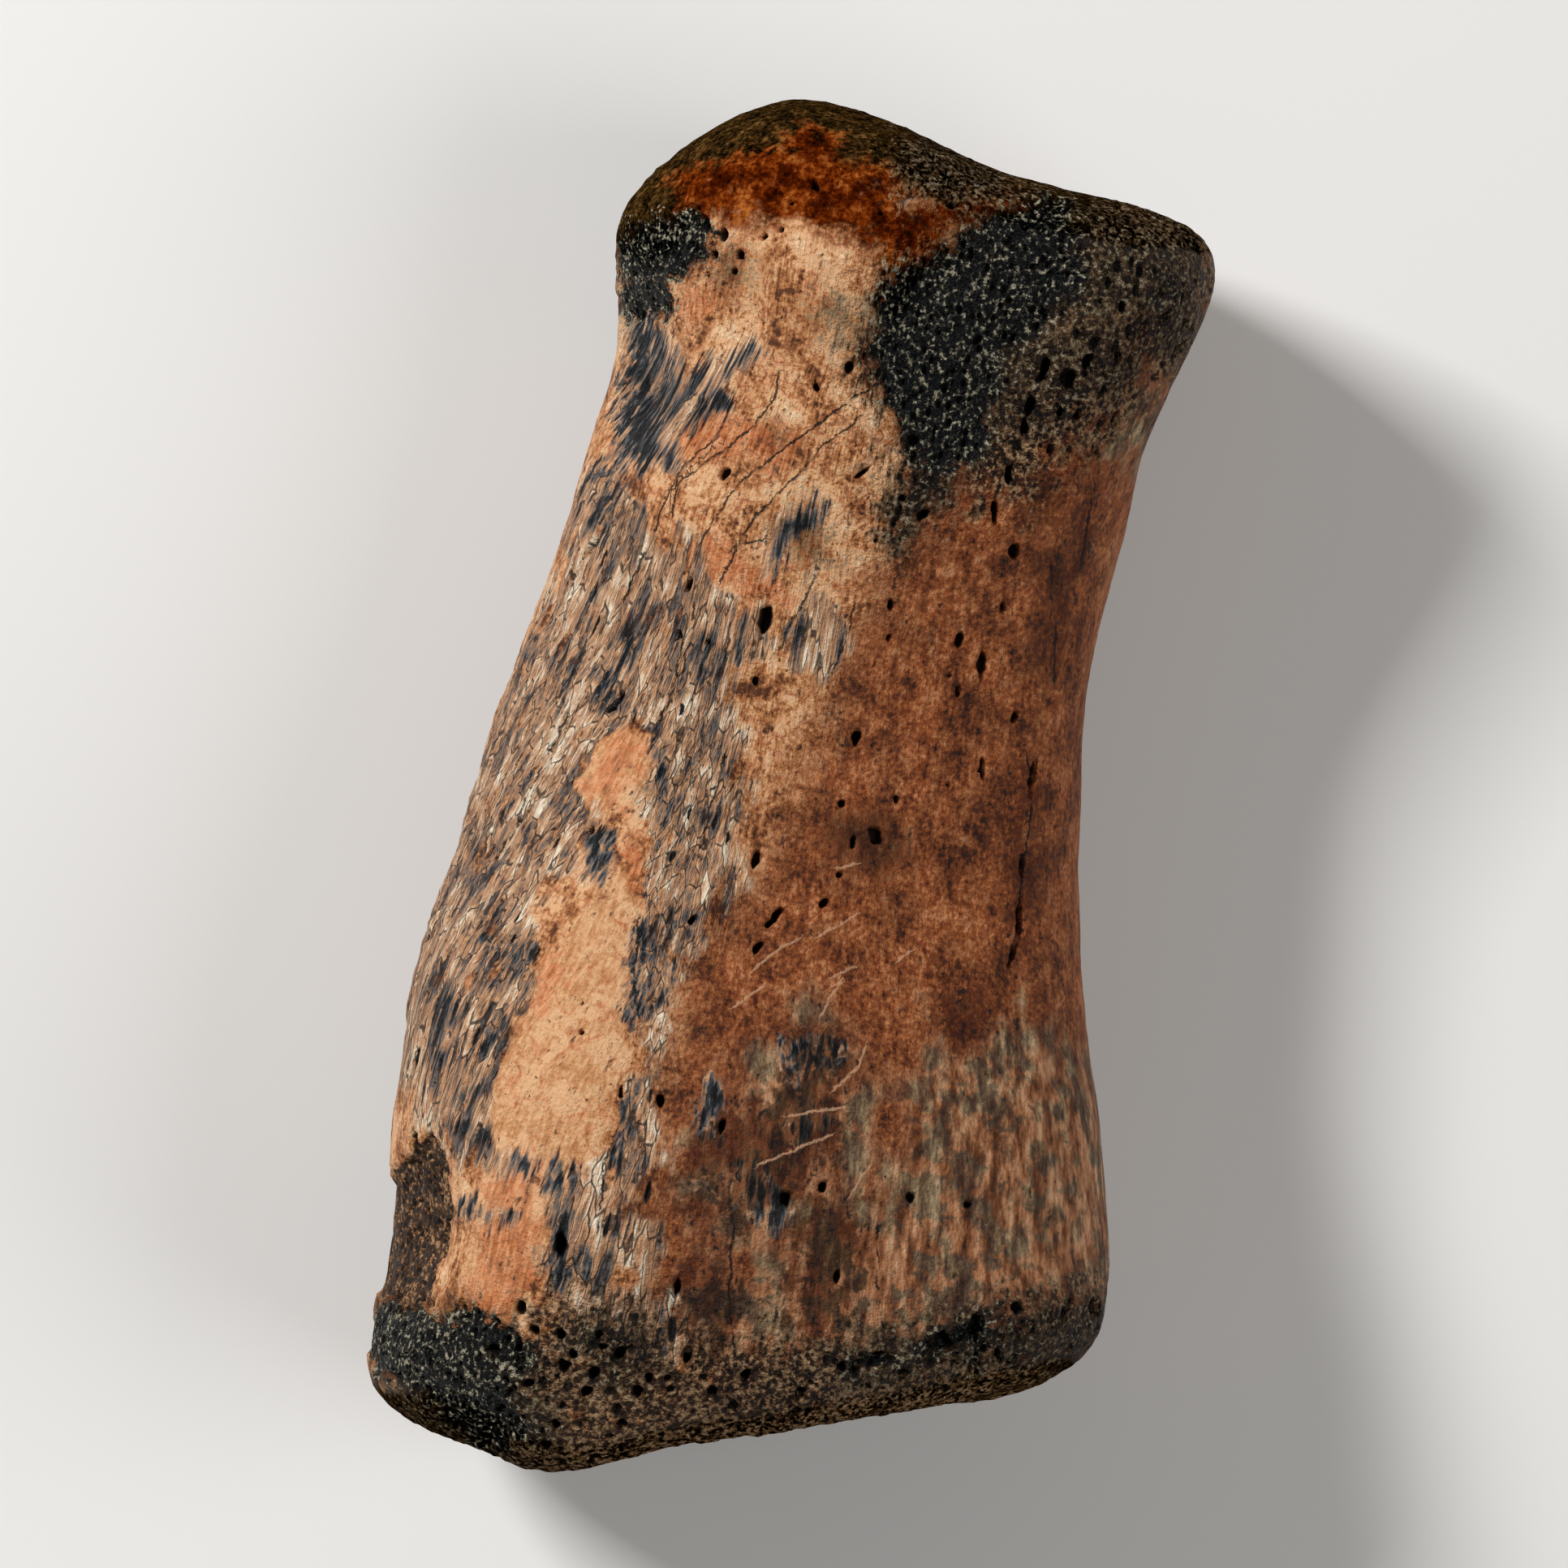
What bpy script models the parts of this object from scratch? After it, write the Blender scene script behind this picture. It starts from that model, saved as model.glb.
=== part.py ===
"""A fossil finger bone of a duck-billed dinosaur: one solid, lying on its palm side.

The shaft runs along Y. The wrist end is at -Y and the knuckle end at +Y. The back of
the finger faces up, and the palm side rests on Z = 0, with the origin under the middle.
Distances below are in millimetres, and become metres when the mesh is made.
"""

import bmesh
import bpy
import numpy as np
from mathutils import Vector, noise

MM = 0.001

# The outline seen from above, as (y, x) where it bends
LEFT_EDGE = [(-31.0, -16.2), (-26.0, -16.4), (-14.0, -17.0), (-5.0, -15.9), (8.0, -13.6),
             (16.0, -12.2), (21.0, -11.7), (24.0, -12.4), (27.0, -12.5)]
RIGHT_EDGE = [(-25.0, 19.0), (-23.0, 19.2), (-16.0, 18.0), (-8.0, 16.0), (2.0, 14.4),
              (10.0, 13.9), (18.0, 14.9), (24.0, 16.5), (28.5, 16.9)]

# Where the shaft's sides meet each end's rim: y at the left edge, y at the right edge
WRIST_RIM = (-30.3, -23.4)
KNUCKLE_RIM = (25.6, 27.7)

# Along the shaft, from 0 at the wrist rim to 1 at the knuckle rim, as (place, millimetres)
BACK_HEIGHT = [(0.0, 25.6), (0.12, 25.9), (0.35, 23.6), (0.6, 21.6), (0.82, 22.4), (1.0, 23.2)]
CREST_X = [(0.0, -6.8), (0.3, -6.4), (0.6, -4.0), (0.85, -1.0), (1.0, 0.4)]
LEFT_SIDE_HEIGHT = [(0.0, 11.5), (0.4, 9.6), (0.7, 9.4), (1.0, 11.2)]
RIGHT_SIDE_HEIGHT = [(0.0, 12.6), (0.4, 11.6), (0.7, 11.2), (1.0, 12.2)]
PALM_HEIGHT = [(0.0, -0.3), (0.13, -0.5), (0.38, 1.9), (0.62, 2.6), (0.86, -0.3), (1.0, -0.4)]
KEEL_X = [(0.0, 1.6), (0.5, -0.6), (1.0, 2.2)]

# How square each quarter of a section is: 2 is an ellipse, more is boxier
LEFT_BACK_SQUARE = 1.95
RIGHT_BACK_SQUARE = 2.4
PALM_SQUARE = 2.7

# The wrist end: a rounded lip around a dished joint face
WRIST_REACH = 4.1
WRIST_SWELLS = [(1.2, 6.3, 1.3), (-6.5, 4.2, 2.2)]
LIP_SHARE = 0.30
DISH_DEPTH = 2.2

# The knuckle end: a rolled joint face, fuller to the left of the middle
KNUCKLE_REACH = 4.2
KNUCKLE_SWELLS = [(-6.2, 6.6, 3.8), (2.6, 4.4, 1.1)]
KNUCKLE_ROLL = 2.3

# Lumps (+) and hollows (-): centre, half sizes, height, and how steep the edge is
RELIEF = [
    # the back
    ((5.6, 22.2, 23.0), (4.6, 6.0, 7.0), -0.95, 5.0),
    ((7.5, -6.0, 20.0), (6.0, 13.0, 7.0), -1.00, 2.0),
    ((-6.4, -10.0, 23.5), (2.6, 12.0, 6.0), 0.75, 2.0),
    ((-13.6, -24.2, 15.5), (2.8, 4.8, 6.5), -1.45, 5.0),
    ((-11.2, 18.6, 15.6), (2.6, 4.6, 3.6), -1.20, 3.0),
    ((-9.6, 24.6, 17.5), (3.4, 2.8, 5.0), 0.65, 2.0),
    ((14.6, -23.6, 19.5), (5.5, 1.7, 5.0), 0.75, 2.0),
    ((14.0, 26.4, 18.0), (3.2, 3.2, 5.0), 0.60, 2.0),
    ((-13.5, -31.0, 12.0), (3.4, 3.0, 8.0), 0.55, 2.0),
    # the sides: the ligament pit on the right, and a muscle scar low on the left
    ((16.2, 21.0, 9.4), (3.0, 3.6, 3.4), -1.10, 3.0),
    ((-14.6, -6.0, 5.0), (3.0, 9.0, 2.2), 0.55, 2.0),
    # the palm: the groove between the two knuckles, and the tendon hollow
    ((2.2, 27.0, 0.0), (2.6, 7.0, 5.0), -1.30, 2.0),
    ((0.4, 2.0, 2.0), (5.0, 10.0, 5.0), -0.80, 2.0),
    ((1.8, -27.0, 0.0), (4.5, 4.0, 5.0), -0.70, 2.0),
    # the middle of the rolled joint face
    ((4.0, 32.5, 9.0), (3.0, 5.0, 9.0), -0.55, 2.0),
]

# Worn unevenness all over, as (wavelength, height)
WEAR = [(9.0, 0.34), (4.0, 0.15)]

POINTS_AROUND = 80
SHAFT_RINGS = 42
END_RINGS = 9
FINE_AROUND = 720

BONE_COLOUR = (0.42, 0.235, 0.135, 1.0)
BONE_ROUGHNESS = 0.62


def curve_value(points, place):
    """The smooth curve through (place, value) points, at a place."""
    places, values = (np.array(column, float) for column in zip(*points))
    slopes = np.gradient(values, places)
    place = np.clip(place, places[0], places[-1])
    span = np.clip(np.searchsorted(places, place) - 1, 0, len(places) - 2)
    width = places[span + 1] - places[span]
    t = (place - places[span]) / width
    return ((2 * t**3 - 3 * t**2 + 1) * values[span] + (t**3 - 2 * t**2 + t) * width * slopes[span]
            + (3 * t**2 - 2 * t**3) * values[span + 1] + (t**3 - t**2) * width * slopes[span + 1])


def evenly(outline, count):
    """A closed outline's points, spaced evenly along it from its first point."""
    closed = np.vstack([outline, outline[:1]])
    run = np.concatenate([[0], np.cumsum(np.linalg.norm(np.diff(closed, axis=0), axis=1))])
    stops = np.arange(count) * run[-1] / count
    return np.column_stack([np.interp(stops, run, closed[:, axis]) for axis in range(closed.shape[1])])


def shaft_ring(place):
    """One section of the shaft, from its left edge over the back to the right and under."""
    left_y, right_y = (w + (k - w) * place for w, k in zip(WRIST_RIM, KNUCKLE_RIM))
    left_x, right_x = curve_value(LEFT_EDGE, left_y), curve_value(RIGHT_EDGE, right_y)
    turn = np.pi - np.arange(FINE_AROUND) * 2 * np.pi / FINE_AROUND
    across, up = np.cos(turn), np.sin(turn)
    on_back, on_left = up >= 0, across < 0
    square = np.where(on_back, np.where(on_left, LEFT_BACK_SQUARE, RIGHT_BACK_SQUARE), PALM_SQUARE)
    across = np.sign(across) * np.abs(across) ** (2 / square)
    up = np.abs(up) ** (2 / square)
    middle_x = np.where(on_back, curve_value(CREST_X, place), curve_value(KEEL_X, place))
    side_z = (1 - across) / 2 * curve_value(LEFT_SIDE_HEIGHT, place)
    side_z += (1 + across) / 2 * curve_value(RIGHT_SIDE_HEIGHT, place)
    far_z = np.where(on_back, curve_value(BACK_HEIGHT, place), curve_value(PALM_HEIGHT, place))
    x = middle_x + np.abs(across) * (np.where(on_left, left_x, right_x) - middle_x)
    z = side_z + (far_z - side_z) * up
    y = left_y + (right_y - left_y) * (x - left_x) / (right_x - left_x)
    return evenly(np.column_stack([x, y, z]), POINTS_AROUND)


def swell_at(x, swells):
    """How much further than its plain reach an end stands out, at places across the bone."""
    return sum(height * np.exp(-(((x - at) / width) ** 2)) for at, width, height in swells)


def wrist_profile(share):
    """How much of the reach and of the swells there is, for a share of the way to the rim.

    The lip rises from the rim with both, and the dish inside it has no swells in its middle.
    """
    lip = 1 - LIP_SHARE
    if share > lip:
        rise = (1 - ((share - lip) / LIP_SHARE) ** 2) ** 0.5
        return rise, rise
    dip = (np.cos(np.pi * share / lip) + 1) / 2
    return 1 - DISH_DEPTH / WRIST_REACH * dip, 1 - dip


def knuckle_profile(share):
    """How much of the reach and of the swells there is over the roll of the joint face."""
    roll = (1 - share**KNUCKLE_ROLL) ** (1 / KNUCKLE_ROLL)
    return roll, roll


def end_rings(rim, outward, base, swells, profile):
    """The rings that close an end, from just inside its rim, and its middle point.

    The rings turn from the rim's own shape into ellipses as they close in.
    """
    middle = rim.mean(axis=0)
    half = np.abs(rim - middle).max(axis=0)
    boxiness = np.linalg.norm(((rim - middle) / half)[:, [0, 2]], axis=1)[:, None]
    half_turn = np.linspace(0, np.pi / 2, END_RINGS + 2)[1:]
    rings = []
    for share in np.cos(half_turn):
        ring = middle + (rim - middle) * share * (share + (1 - share) / boxiness)
        of_base, of_swells = profile(share)
        ring[:, 1] += outward * (base * of_base + swell_at(ring[:, 0], swells) * of_swells)
        rings.append(ring)
    return rings[:-1], rings[-1].mean(axis=0)


def bone_mesh():
    """The closed surface from ring to ring, before its lumps and hollows."""
    shaft = [shaft_ring(place) for place in np.linspace(0, 1, SHAFT_RINGS)]
    wrist, wrist_tip = end_rings(shaft[0], -1, WRIST_REACH, WRIST_SWELLS, wrist_profile)
    knuckle, knuckle_tip = end_rings(shaft[-1], 1, KNUCKLE_REACH, KNUCKLE_SWELLS, knuckle_profile)
    rings = wrist[::-1] + shaft + knuckle
    bm = bmesh.new()
    loops = [[bm.verts.new(point) for point in ring] for ring in rings]
    for near, far in zip(loops, loops[1:]):
        for k in range(POINTS_AROUND):
            after = (k + 1) % POINTS_AROUND
            bm.faces.new((near[k], far[k], far[after], near[after]))
    for tip, loop, order in ((wrist_tip, loops[0], -1), (knuckle_tip, loops[-1], 1)):
        point = bm.verts.new(tip)
        for k in range(POINTS_AROUND):
            pair = (loop[k], loop[(k + 1) % POINTS_AROUND])[::order]
            bm.faces.new((pair[0], point, pair[1]))
    bmesh.ops.recalc_face_normals(bm, faces=bm.faces)
    return bm


def relief_at(point):
    """How far the surface stands out (+) or in (-) at a point."""
    height = 0.0
    for centre, half, rise, edge in RELIEF:
        apart = sum(((point[i] - centre[i]) / half[i]) ** 2 for i in range(3)) ** 0.5
        height += rise * 0.5 ** (apart**edge)
    for wavelength, rise in WEAR:
        height += rise * noise.noise(point / wavelength)
    return height


def finger_bone():
    """The bone, with its relief, worn flat where it rests and centred over the origin."""
    bm = bone_mesh()
    bm.normal_update()
    moves = [vert.normal * relief_at(vert.co) for vert in bm.verts]
    for vert, move in zip(bm.verts, moves):
        vert.co += move
        vert.co.z = max(vert.co.z, 0.0)
    corners = np.array([vert.co for vert in bm.verts])
    middle = Vector((corners.min(axis=0) + corners.max(axis=0)) / 2)
    for vert in bm.verts:
        vert.co = Vector((vert.co.x - middle.x, vert.co.y - middle.y, vert.co.z)) * MM
    bmesh.ops.triangulate(bm, faces=bm.faces)
    mesh = bpy.data.meshes.new("finger_bone")
    bm.to_mesh(mesh)
    bm.free()
    mesh.shade_smooth()
    bone = bpy.data.objects.new("finger_bone", mesh)
    bpy.context.scene.collection.objects.link(bone)
    return bone


def fossil_bone_material():
    """Brown mineralised bone with a dull natural polish."""
    material = bpy.data.materials.new("fossil_bone")
    material.use_nodes = True
    shader = material.node_tree.nodes["Principled BSDF"]
    shader.inputs["Base Color"].default_value = BONE_COLOUR
    shader.inputs["Roughness"].default_value = BONE_ROUGHNESS
    shader.inputs["Metallic"].default_value = 0.0
    return material


def main():
    for old in list(bpy.data.objects):
        bpy.data.objects.remove(old)
    finger_bone().data.materials.append(fossil_bone_material())


main()
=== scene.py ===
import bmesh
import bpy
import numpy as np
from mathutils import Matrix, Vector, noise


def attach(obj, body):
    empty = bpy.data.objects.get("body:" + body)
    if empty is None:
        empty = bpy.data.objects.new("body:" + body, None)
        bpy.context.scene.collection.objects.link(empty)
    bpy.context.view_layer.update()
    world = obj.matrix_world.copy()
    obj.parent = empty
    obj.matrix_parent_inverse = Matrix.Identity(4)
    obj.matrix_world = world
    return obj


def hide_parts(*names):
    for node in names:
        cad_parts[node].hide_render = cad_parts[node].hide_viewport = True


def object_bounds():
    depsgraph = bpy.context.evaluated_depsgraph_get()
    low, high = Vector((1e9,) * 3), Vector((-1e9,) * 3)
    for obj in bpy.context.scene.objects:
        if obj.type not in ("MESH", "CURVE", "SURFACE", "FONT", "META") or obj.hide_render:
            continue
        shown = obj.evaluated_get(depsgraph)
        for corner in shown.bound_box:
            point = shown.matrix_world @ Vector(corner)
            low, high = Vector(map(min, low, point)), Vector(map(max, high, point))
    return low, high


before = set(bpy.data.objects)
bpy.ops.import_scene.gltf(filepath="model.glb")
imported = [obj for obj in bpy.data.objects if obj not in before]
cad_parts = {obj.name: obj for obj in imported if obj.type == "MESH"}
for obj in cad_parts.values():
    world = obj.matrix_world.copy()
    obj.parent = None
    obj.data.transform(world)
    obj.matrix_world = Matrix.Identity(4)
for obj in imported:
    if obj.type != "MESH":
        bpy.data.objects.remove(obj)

# The looks of a fossil finger bone: its worn surface, its pores, cracks and fibres, and its stains, with
# painted shade in some stains, in its hollows and on its brown side.
# The shape comes from the frame's solid. The places of marks are pixels of the reference photo,
# which looks straight down on the bone. Lengths are in millimetres unless a comment says otherwise.

# In metres
CAD_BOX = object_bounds()
MM = 0.001

# The photo: its frame, its scale, how far the shaft leans in it, and the pixel over the origin
PHOTO_SIDE = 1932
MM_PER_PIXEL = 0.04
LEAN = np.radians(8.8)
ORIGIN_PIXEL = (998.0, 988.4)

# The mesh: how near points are joined, its widest spacing, and the smoothing that takes the solid's
# facets off
WELD_REACH = 0.01
SPACING = 0.53
SMOOTHING_ROUNDS = 7

# Marks are strokes: rows of (x, y, radius) in pixels, joined up
SPONGY = [
    [(1110, 400, 30), (1104, 450, 36), (1150, 545, 40)],
    [(1140, 385, 50), (1165, 470, 66), (1175, 545, 40)],
    [(1190, 360, 50), (1280, 292, 40)],
    [(1215, 395, 60), (1300, 350, 34)],
    [(796, 322, 46), (845, 305, 34)],
    [(784, 372, 32), (806, 376, 22)],
    [(490, 1645, 50), (560, 1670, 52), (610, 1740, 40)],
    [(590, 1620, 26), (650, 1660, 20)],
    [(1045, 1672, 8), (1100, 1655, 6)], [(1140, 1654, 12), (1180, 1634, 14), (1215, 1614, 10)],
    [(1205, 1635, 12), (1200, 1672, 8)], [(1243, 1598, 7), (1250, 1622, 8)],
]
GRAINY = [
    [(1170, 440, 120), (1290, 380, 110), (1420, 350, 100), (1440, 420, 60)],
    [(1330, 460, 80), (1230, 560, 60)],
    [(1130, 600, 50), (1100, 660, 24)],
    [(1230, 250, 30), (1130, 215, 30)],
    [(560, 1690, 80), (680, 1700, 90), (830, 1715, 76), (1000, 1700, 64), (1160, 1670, 60), (1340, 1620, 50)],
    [(690, 1640, 50), (790, 1640, 44)],
    [(600, 1770, 40), (700, 1800, 40), (850, 1780, 30)],
]
RUST = [
    [(855, 245, 30), (960, 240, 46), (1060, 262, 46), (1130, 312, 36)],
    [(1000, 200, 32), (1010, 240, 44)],
    [(1160, 282, 24), (1240, 262, 14)],
    [(1112, 335, 30), (1100, 395, 14)],
]
DOME = [
    [(790, 270, 60), (850, 190, 70), (950, 140, 75), (1060, 170, 70), (1180, 225, 50), (1270, 260, 30)],
    [(460, 1720, 20), (560, 1800, 24), (700, 1850, 34), (900, 1805, 30), (1100, 1765, 34), (1370, 1690, 34)],
]
# Brown: partly a brown stain and partly painted shade of the right side, which faces away from the light
BROWN_AND_SHADE = [
    [(1210, 640, 95), (1240, 760, 170), (1235, 900, 220), (1210, 1100, 285)],
    [(1330, 600, 120), (1420, 480, 90), (1480, 360, 60)],
    [(1320, 800, 120), (1380, 1000, 100)],
    [(1130, 1300, 310), (1120, 1500, 320)],
    [(900, 1450, 100), (860, 1560, 80)],
]
MOTTLED = [
    [(1240, 1400, 130), (1250, 1540, 140), (1060, 1600, 110), (900, 1620, 70)],
    [(990, 1350, 80), (930, 1460, 70)],
    [(1400, 520, 40)],
]
FIBRES = [
    [(790, 480, 30), (850, 500, 34), (915, 478, 24)],
    [(740, 620, 44), (760, 700, 66), (740, 790, 84), (690, 900, 90), (620, 1020, 90), (560, 1130, 70)],
    [(850, 720, 56), (850, 850, 62), (860, 980, 64), (855, 1090, 54), (810, 1180, 34)],
    [(640, 1165, 34), (600, 1240, 62), (570, 1330, 60), (585, 1400, 30)],
    [(535, 1180, 50), (510, 1300, 45)],
    [(715, 1440, 44), (720, 1530, 52), (740, 1600, 46), (800, 1620, 40)],
    [(812, 1220, 12), (800, 1300, 14), (792, 1400, 24), (790, 1520, 30)],
    [(985, 670, 34)], [(920, 780, 30)], [(1000, 785, 38)],
]
DARK = [
    [(792, 515, 40), (860, 480, 18), (930, 440, 8)],
    [(798, 470, 30), (840, 500, 26), (890, 502, 12)],
    [(790, 415, 24), (812, 452, 24)], [(790, 550, 34), (818, 565, 22)],
    [(728, 632, 12), (742, 588, 14)],
    [(945, 705, 8), (965, 668, 10), (1005, 635, 11)],
    [(925, 775, 16), (905, 800, 10)],
    [(975, 785, 9), (1000, 765, 9), (1006, 745, 5)],
    [(778, 790, 12), (745, 855, 12)], [(875, 798, 8), (868, 845, 8)],
    [(812, 920, 9), (826, 1000, 5)], [(850, 1070, 4), (858, 1130, 6)], [(872, 900, 5), (878, 930, 3)],
    [(745, 1030, 10), (735, 1080, 10)],
    [(598, 1165, 12), (655, 1168, 8)],
    [(640, 1190, 4), (600, 1265, 5), (570, 1335, 4)],
    [(555, 1230, 10), (540, 1290, 6)], [(580, 1385, 10), (600, 1400, 6)],
    [(622, 1420, 12), (652, 1424, 12)], [(584, 1482, 12), (604, 1490, 11)], [(632, 1490, 7)],
    [(690, 1418, 9), (702, 1500, 12), (690, 1570, 14)], [(718, 1430, 7), (722, 1570, 12)],
    [(797, 1145, 11), (792, 1240, 9)], [(830, 1190, 7), (822, 1222, 6)], [(776, 1360, 6), (769, 1415, 6)],
    [(975, 1300, 22), (1022, 1290, 14)], [(985, 1380, 20), (1010, 1372, 12)],
    [(915, 1440, 20), (960, 1485, 20)], [(880, 1340, 12), (872, 1390, 10)],
    [(1045, 198, 12), (1080, 216, 16), (1112, 246, 14)],
]
CREAM = [
    [(712, 868, 8), (672, 945, 13), (646, 1005, 11)],
    [(738, 1000, 9), (690, 1060, 9)],
    [(885, 845, 6), (868, 900, 8), (852, 960, 9), (842, 1040, 10), (852, 1075, 8)],
    [(560, 1360, 14), (598, 1290, 10), (640, 1200, 7)],
    [(926, 676, 5), (976, 634, 6)],
    [(735, 690, 5), (700, 735, 6)],
    [(752, 1420, 7), (745, 1500, 8)], [(838, 487, 5), (885, 462, 5)], [(822, 524, 5), (862, 505, 5)],
    [(588, 1705, 6), (606, 1722, 8), (600, 1756, 6)],
    [(1095, 440, 7), (1088, 462, 7)],
]
ORANGE = [
    [(770, 930, 24), (742, 972, 22)], [(778, 1052, 18), (792, 1085, 16)],
    [(850, 540, 26), (960, 560, 24)], [(875, 690, 24), (950, 730, 22)], [(860, 380, 22)],
    [(640, 1440, 30), (625, 1560, 40), (592, 1640, 12)], [(690, 1190, 14), (660, 1250, 12)],
    [(1090, 800, 34), (1120, 860, 30)],
]
SMOOTH = [
    [(765, 1110, 34), (735, 1180, 50), (705, 1280, 72), (680, 1370, 72)],
    [(650, 1440, 44), (625, 1540, 40), (596, 1625, 14)],
    [(770, 930, 34), (742, 972, 30)],
    [(880, 400, 60), (960, 480, 90), (1010, 600, 80), (930, 680, 60)],
]
# Umber: a brown stain that also holds painted shade, as in the band under the wrist end's rim
UMBER_AND_SHADE = [
    [(900, 1450, 60), (985, 1370, 60), (1010, 1300, 40)], [(1030, 1500, 40), (1000, 1600, 40)],
    [(1300, 690, 14), (1297, 820, 14)], [(1340, 600, 10), (1330, 700, 10)],
    [(1260, 960, 20), (1255, 1150, 20)], [(870, 1600, 50)], [(1330, 1680, 30)], [(1180, 1240, 40)],
]
# Sooty: a grey darkening that is partly soot and partly painted shade, beside the holes on the brown side and
# in the band under the wrist end's rim
SOOT_AND_SHADE = [
    [(1180, 500, 60), (1220, 360, 80), (1320, 330, 80), (1420, 330, 50), (1450, 420, 30)],
    [(1250, 470, 60), (1350, 450, 40)], [(1160, 580, 30), (1110, 640, 24)],
    [(500, 1650, 60), (570, 1690, 80), (640, 1730, 50)],
    [(1230, 1640, 30), (1360, 1650, 50)], [(785, 340, 34), (830, 300, 24)],
    [(760, 1650, 40)], [(1060, 1660, 24), (1180, 1640, 30)],
    [(1055, 1030, 24), (1085, 1045, 20)], [(830, 1850, 20)],
    [(1140, 205, 26), (1210, 240, 20)], [(905, 345, 22)], [(1036, 402, 24)],
    [(985, 650, 14), (1010, 690, 14)], [(950, 545, 4)],
]
SPALL = [
    [(530, 1415, 22), (512, 1480, 52), (498, 1550, 52)],
]

# Each mark's strokes, and how many pixels wide its soft edge is. Spongy is black open bone, grainy is
# the rough bone round it, dome is the joint faces, and spall is the hollow that a chip left. Dark and
# cream are strands among the fibres. Smooth is unbroken outer layer. Brown is partly a stain and partly
# painted shade. Umber is a brown stain with painted shade in it, and sooty is a grey darkening that is
# partly soot and partly painted shade.
MARKS = {
    "spongy": (SPONGY, 60), "grainy": (GRAINY, 130), "rust": (RUST, 70), "dome": (DOME, 50),
    "brown": (BROWN_AND_SHADE, 200), "mottled": (MOTTLED, 220), "fibres": (FIBRES, 60), "dark": (DARK, 56),
    "cream": (CREAM, 34), "orange": (ORANGE, 50), "smooth": (SMOOTH, 22), "spall": (SPALL, 16),
    "umber_and_shade": (UMBER_AND_SHADE, 110), "soot_and_shade": (SOOT_AND_SHADE, 110),
}

# Cracks and pale scratches: rows of (x, y) in pixels
CRACKS = [
    [(1082, 480), (1040, 505), (1000, 535), (965, 560), (930, 585), (905, 610), (880, 645), (862, 675)],
    [(960, 470), (955, 500), (930, 530), (900, 555), (870, 575), (838, 600), (830, 640)],
    [(885, 545), (862, 562), (838, 590), (825, 612), (815, 640), (805, 668)],
    [(1060, 520), (1010, 560), (985, 590), (950, 622), (930, 645), (912, 672), (903, 690), (890, 720)],
    [(1003, 715), (992, 740), (975, 770), (962, 800)],
    [(1052, 752), (1040, 790), (1030, 820), (1010, 850)],
    [(905, 678), (940, 670)],
    [(1290, 700), (1298, 780), (1296, 840)], [(1345, 600), (1330, 700)],
    [(1262, 930), (1268, 1000), (1258, 1070), (1254, 1130), (1240, 1185)],
    [(792, 690), (772, 730), (755, 760)], [(860, 740), (842, 800), (830, 850), (815, 890)],
    [(700, 880), (665, 950), (640, 1010), (610, 1060)],
    [(895, 930), (880, 985), (868, 1040)],
    [(765, 1385), (750, 1420), (742, 1500)], [(790, 1130), (785, 1200), (792, 1245)],
    [(1080, 1500), (1078, 1570), (1085, 1620)], [(905, 1500), (900, 1590), (906, 1650)],
]
SCRATCHES = [
    [(1008, 1150), (1053, 1126)], [(1024, 1200), (1050, 1188)], [(1012, 1244), (1022, 1222), (1036, 1206)],
    [(1027, 1335), (1052, 1312), (1064, 1286)], [(973, 1366), (1037, 1357)],
    [(938, 1424), (985, 1404), (1021, 1390)], [(1045, 1462), (1069, 1427)], [(1032, 1068), (1053, 1064)],
    [(930, 1190), (960, 1165), (985, 1152)], [(905, 1235), (940, 1210)], [(1105, 1180), (1120, 1168)],
]

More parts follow.
